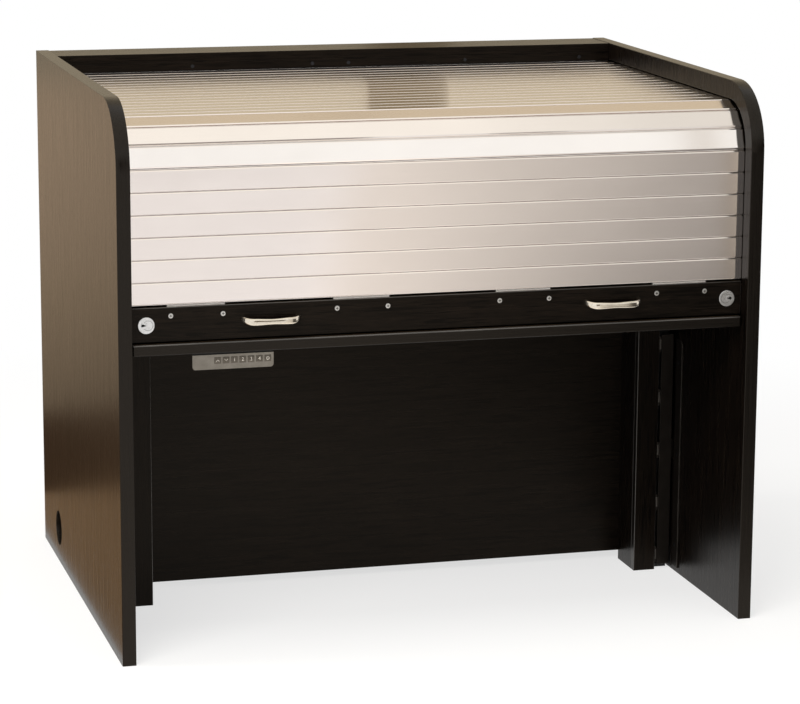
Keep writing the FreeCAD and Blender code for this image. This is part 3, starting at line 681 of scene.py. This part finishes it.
def bowStations():
    # one end from its foot round the bend, then the bar to its middle
    # each is along, forward, lift, heading, thickness and rise
    stations = []
    for i in range(bow["bendRings"] + 1):
        turn = bow["bend"] * i / bow["bendRings"]
        along = bow["feet"] / 2 - bow["run"] * (1 - math.cos(turn))
        forward = bow["depth"] * math.sin(turn)
        heading = math.atan2(bow["depth"] * math.cos(turn), -bow["run"] * math.sin(turn))
        left = 1 - math.sin(turn)
        size = [low + (high - low) * left for low, high in zip(bow["elbow"], bow["foot"])]
        stations.append((along, forward, bow["lift"] * left, heading, *size))
    barStart, barForward = stations[-1][:2]
    slope = bow["depth"] / bow["run"] / math.tan(bow["bend"])
    for i in range(1, bow["barRings"] + 1):
        share = i / bow["barRings"]
        forward = barForward + slope * barStart * (share - share ** 2 / 2)
        fullness = 0.5 + 0.5 * math.cos(math.pi * share)
        size = [low + (high - low) * fullness for low, high in zip(bow["waist"], bow["elbow"])]
        heading = math.pi - math.atan(slope * (1 - share))
        stations.append((barStart * (1 - share), forward, 0.0, heading, *size))
    return stations


def squared(value):
    # pushes a round section out towards a square one
    return math.copysign(abs(value) ** (2 / bow["square"]), value)


def bowHandle(node):
    low, high = (Vector(corner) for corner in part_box(node))
    middle = Vector(((low.x + high.x) / 2, high.y, (low.z + high.z) / 2))
    half = bowStations()
    other = [(-along, forward, lift, 2 * math.pi - heading, thick, rise)
             for along, forward, lift, heading, thick, rise in reversed(half[:-1])]
    bm = bmesh.new()
    rings = []
    route = half + other
    for i, (along, forward, lift, heading, thick, rise) in enumerate(route):
        centre = middle + Vector((along, -forward, lift))
        ahead = Vector((math.cos(heading), -math.sin(heading), 0))
        across = Vector((ahead.y, -ahead.x, 0))
        upright = Vector((0, 0, 1)) * math.cos(bow["lean"]) + across * math.sin(bow["lean"])
        across = across * math.cos(bow["lean"]) - Vector((0, 0, 1)) * math.sin(bow["lean"])
        basis = Matrix((across * thick, upright * rise, ahead)).transposed().to_4x4()
        closed = i in (0, len(route) - 1)
        ring = bmesh.ops.create_circle(bm, cap_ends=closed, segments=bow["sides"], radius=1.0)
        for vert in ring["verts"]:
            vert.co.x = squared(vert.co.x)
            vert.co.y = squared(vert.co.y)
        bmesh.ops.transform(bm, verts=ring["verts"], matrix=Matrix.Translation(centre) @ basis)
        rings.append({edge for vert in ring["verts"] for edge in vert.link_edges})
    for first, second in zip(rings, rings[1:]):
        bmesh.ops.bridge_loops(bm, edges=list(first | second))
    bmesh.ops.recalc_face_normals(bm, faces=bm.faces)
    piece = meshObject(node + "_cast", bm)
    standFor(piece, node)
    paint(piece, nickel)
    smoothShade(piece, bow["crease"])


for side in ("left", "right"):
    bowHandle(side + "_handle")
print("handles cast")


# turned and pressed metal: eased, smooth, with painted shade in the recesses and a painted highlight on
# rounded plastic edges

fittings = {
    "left_lock_housing": dict(ease=0.3, finish=lockMetal),
    "right_lock_housing": dict(ease=0.3, finish=lockMetal),
    "left_lock_plug": dict(ease=0.25, finish=lockMetal, hollow=(5.0, 20.0)),
    "right_lock_plug": dict(ease=0.25, finish=lockMetal, hollow=(5.0, 20.0)),
    "rail_screws": dict(ease=0.3, finish=zinc, hollow=(2.7, 4.0)),
    "fascia_screws": dict(ease=0.15, finish=blackScrew),
    "cover_strip_screws": dict(ease=0.2, finish=blackScrew),
    "tambour_hinge_plates": dict(ease=0.4, finish=hingeSteel),
    "handset_case": dict(ease=1.0, finish=padBlack, draft=18),
    "handset_face": dict(ease=0.4, finish=padMetal),
    "handset_keys": dict(ease=0.3, finish=keyPlastic, spread=1.32),
    "duct_cover": dict(ease=1.4, finish=blackPlastic, edgeHighlight=plasticEdgeHighlight),
    "cover_hinge_ears": dict(ease=0.4, finish=blackPlastic),
    "cover_hinge_pins": dict(ease=0.2, finish=blackScrew),
    "cover_side_strip": dict(ease=0.5, finish=blackPlastic, edgeHighlight=plasticEdgeHighlight),
}
recessRim = 0.2 * mm
fittingCrease = 50


def islands(mesh):
    # polygon indices of each separate solid in the mesh
    bm = bmesh.new()
    bm.from_mesh(mesh)
    left = set(bm.faces)
    groups = []
    while left:
        group = {left.pop()}
        withoutArrisHighlight = list(group)
        while withoutArrisHighlight:
            face = withoutArrisHighlight.pop()
            near = {other for edge in face.edges for other in edge.link_faces} - group
            group |= near
            withoutArrisHighlight += near
        left -= group
        groups.append([face.index for face in group])
    bm.free()
    return groups


def shadeRecess(piece, radius, reach):
    # painted shade on the faces inside the drive or keyhole: close to the axis and behind the front
    mesh = piece.data
    for group in islands(mesh):
        corners = [mesh.vertices[v].co for index in group for v in mesh.polygons[index].vertices]
        front = min(corner.y for corner in corners)
        head = [corner for corner in corners if corner.y < front + recessRim]
        axis = Vector((sum(c.x for c in head) / len(head), 0, sum(c.z for c in head) / len(head)))
        for index in group:
            face = mesh.polygons[index]
            away = math.hypot(face.center.x - axis.x, face.center.z - axis.z)
            depth = face.center.y - front
            if away < radius * mm and recessRim < depth < reach * mm:
                face.material_index = 1


def spreadOut(piece, share):
    # each separate solid widened across its own middle
    mesh = piece.data
    for group in islands(mesh):
        corners = [mesh.vertices[v] for v in {v for index in group for v in mesh.polygons[index].vertices}]
        middle = sum((corner.co for corner in corners), Vector()) / len(corners)
        for corner in corners:
            corner.co.x = middle.x + (corner.co.x - middle.x) * share
            corner.co.z = middle.z + (corner.co.z - middle.z) * share


def drawnIn(piece, slope):
    # moulded sides that close in towards the back
    corners = [vertex.co for vertex in piece.data.vertices]
    front = min(corner.y for corner in corners)
    middle = (min(corner.x for corner in corners) + max(corner.x for corner in corners)) / 2
    half = max(corner.x for corner in corners) - middle
    for corner in corners:
        corner.x = middle + (corner.x - middle) * (1 - (corner.y - front) * slope / half)


for node, fitting in fittings.items():
    piece = softened(node, node + "_finished", fitting["ease"] * mm)
    if "spread" in fitting:
        spreadOut(piece, fitting["spread"])
    if "draft" in fitting:
        drawnIn(piece, math.tan(math.radians(fitting["draft"])))
    paint(piece, fitting["finish"], darkHollow, fitting.get("edgeHighlight", fitting["finish"]))
    # rounded faces take the third finish, which on the plastic cover and strip is a painted highlight
    for face in piece.data.polygons:
        face.material_index = 0 if max(abs(part) for part in face.normal) > flatEnough else 2
    if "hollow" in fitting:
        shadeRecess(piece, *fitting["hollow"])
    smoothShade(piece, fittingCrease)
print("fittings finished:", len(fittings))


# lock faces: a dark ring beside the plug as painted shade of the gap, and a dark plate wider than the
# keyhole as painted shade

lockFace = dict(ring=9.0 * mm, ringShift=3.0 * mm, ringSides=40, stroke=0.7 * mm, raised=0.06 * mm,
                keyholeShade=[(-4.2, 0.0), (-1.5, 1.2), (1.6, 2.8), (3.9, 2.7), (5.0, 0.6), (4.5, -1.9),
                       (1.8, -1.9), (-1.5, -0.8)])


def lockMarks(side, sign):
    low, high = (Vector(corner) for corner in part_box(side + "_lock_housing"))
    upright = Matrix.Rotation(math.pi / 2, 4, "X")
    # a raised dark ring beside the plug: painted shade of the gap between plug and housing
    bm = ringMark(lockFace["ring"], lockFace["stroke"], lockFace["ringSides"])
    thickened(bm, lockFace["raised"])
    place = Vector(((low.x + high.x) / 2 - sign * lockFace["ringShift"], low.y, (low.z + high.z) / 2))
    bmesh.ops.transform(bm, verts=bm.verts, matrix=Matrix.Translation(place) @ upright)
    ringShade = meshObject(side + "_lock_ring_shade", bm)
    paint(ringShade, lockRingShade)
    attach(ringShade, bodyOf[side + "_lock_housing"])
    low, high = (Vector(corner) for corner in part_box(side + "_lock_plug"))
    # a thin dark plate round the keyhole: painted shade of the keyhole
    bm = bmesh.new()
    bm.faces.new([bm.verts.new((sign * x * mm, y * mm, 0)) for x, y in lockFace["keyholeShade"]])
    bmesh.ops.recalc_face_normals(bm, faces=bm.faces)
    thickened(bm, lockFace["raised"])
    place = Vector(((low.x + high.x) / 2, low.y, (low.z + high.z) / 2))
    bmesh.ops.transform(bm, verts=bm.verts, matrix=Matrix.Translation(place) @ upright)
    keyholeShade = meshObject(side + "_keyhole_shade", bm)
    paint(keyholeShade, darkHollow)
    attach(keyholeShade, bodyOf[side + "_lock_plug"])


def ringMark(radius, stroke, sides):
    bm = bmesh.new()
    bmesh.ops.create_circle(bm, cap_ends=True, segments=sides, radius=radius)
    inner = bmesh.ops.inset_region(bm, faces=bm.faces[:], thickness=stroke, use_boundary=True)
    middle = [face for face in bm.faces if face not in inner["faces"]]
    bmesh.ops.delete(bm, geom=middle, context="FACES_ONLY")
    return bm


def thickened(bm, height):
    thick = bmesh.ops.extrude_face_region(bm, geom=bm.faces[:])
    lifted = [item for item in thick["geom"] if isinstance(item, bmesh.types.BMVert)]
    bmesh.ops.translate(bm, verts=lifted, vec=(0, 0, height))
    bmesh.ops.recalc_face_normals(bm, faces=bm.faces)


lockMarks("left", -1)
lockMarks("right", 1)
print("locks marked")


# key pad marks: arrows, plain numbers and a ring

keyMarks = dict(order=["up", "down", "1", "2", "3", "4", "ring"], height=6.0 * mm, stroke=1.1 * mm,
                raised=0.12 * mm, keySize=9 * mm, digitScale=1.5, ringSides=24, join=0.005 * mm)


def chevron(turned):
    bm = bmesh.new()
    half = keyMarks["height"] / 2
    stroke = keyMarks["stroke"]
    outline = [(-half, -half / 2), (0, half / 2), (half, -half / 2),
               (half, -half / 2 - stroke), (0, half / 2 - stroke), (-half, -half / 2 - stroke)]
    bm.faces.new([bm.verts.new((x, y, 0)) for x, y in reversed(outline)])
    if turned:
        bmesh.ops.rotate(bm, verts=bm.verts, matrix=Matrix.Rotation(math.pi, 3, "Z"))
    return bm


def digitMark(digit):
    text = bpy.data.curves.new("keyDigit" + digit, "FONT")
    text.body = digit
    text.align_x = "CENTER"
    text.align_y = "CENTER"
    text.size = keyMarks["height"] * keyMarks["digitScale"]
    holder = bpy.data.objects.new("keyDigit" + digit, text)
    mesh = bpy.data.meshes.new_from_object(holder)
    bm = bmesh.new()
    bm.from_mesh(mesh)
    bpy.data.objects.remove(holder)
    bpy.data.meshes.remove(mesh)
    bmesh.ops.remove_doubles(bm, verts=bm.verts, dist=keyMarks["join"])
    return bm


def keyPadMarks():
    low, high = (Vector(corner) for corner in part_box("handset_keys"))
    count = len(keyMarks["order"])
    pitch = (high.x - low.x - keyMarks["keySize"]) / (count - 1)
    whole = bmesh.new()
    for i, kind in enumerate(keyMarks["order"]):
        if kind in ("up", "down"):
            bm = chevron(kind == "down")
        elif kind == "ring":
            bm = ringMark(keyMarks["height"] / 2, keyMarks["stroke"], keyMarks["ringSides"])
        else:
            bm = digitMark(kind)
        thickened(bm, keyMarks["raised"])
        place = Vector((low.x + keyMarks["keySize"] / 2 + i * pitch, low.y, (low.z + high.z) / 2))
        upright = Matrix.Translation(place) @ Matrix.Rotation(math.pi / 2, 4, "X")
        bmesh.ops.transform(bm, verts=bm.verts, matrix=upright)
        mark = bpy.data.meshes.new("keyPadMark")
        bm.to_mesh(mark)
        bm.free()
        whole.from_mesh(mark)
        bpy.data.meshes.remove(mark)
    piece = meshObject("key_pad_marks", whole)
    paint(piece, keyMark)
    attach(piece, bodyOf["handset_keys"])


keyPadMarks()
print("key pad marked")


# what stays as it is gets its finish

finishes = {"zinc_steel": zinc, "black_plastic": blackPlastic, "column_grey": columnPaint}
for node, piece in nodes.items():
    if slotOf[node] in finishes:
        paint(piece, finishes[slotOf[node]])
print("other pieces painted")
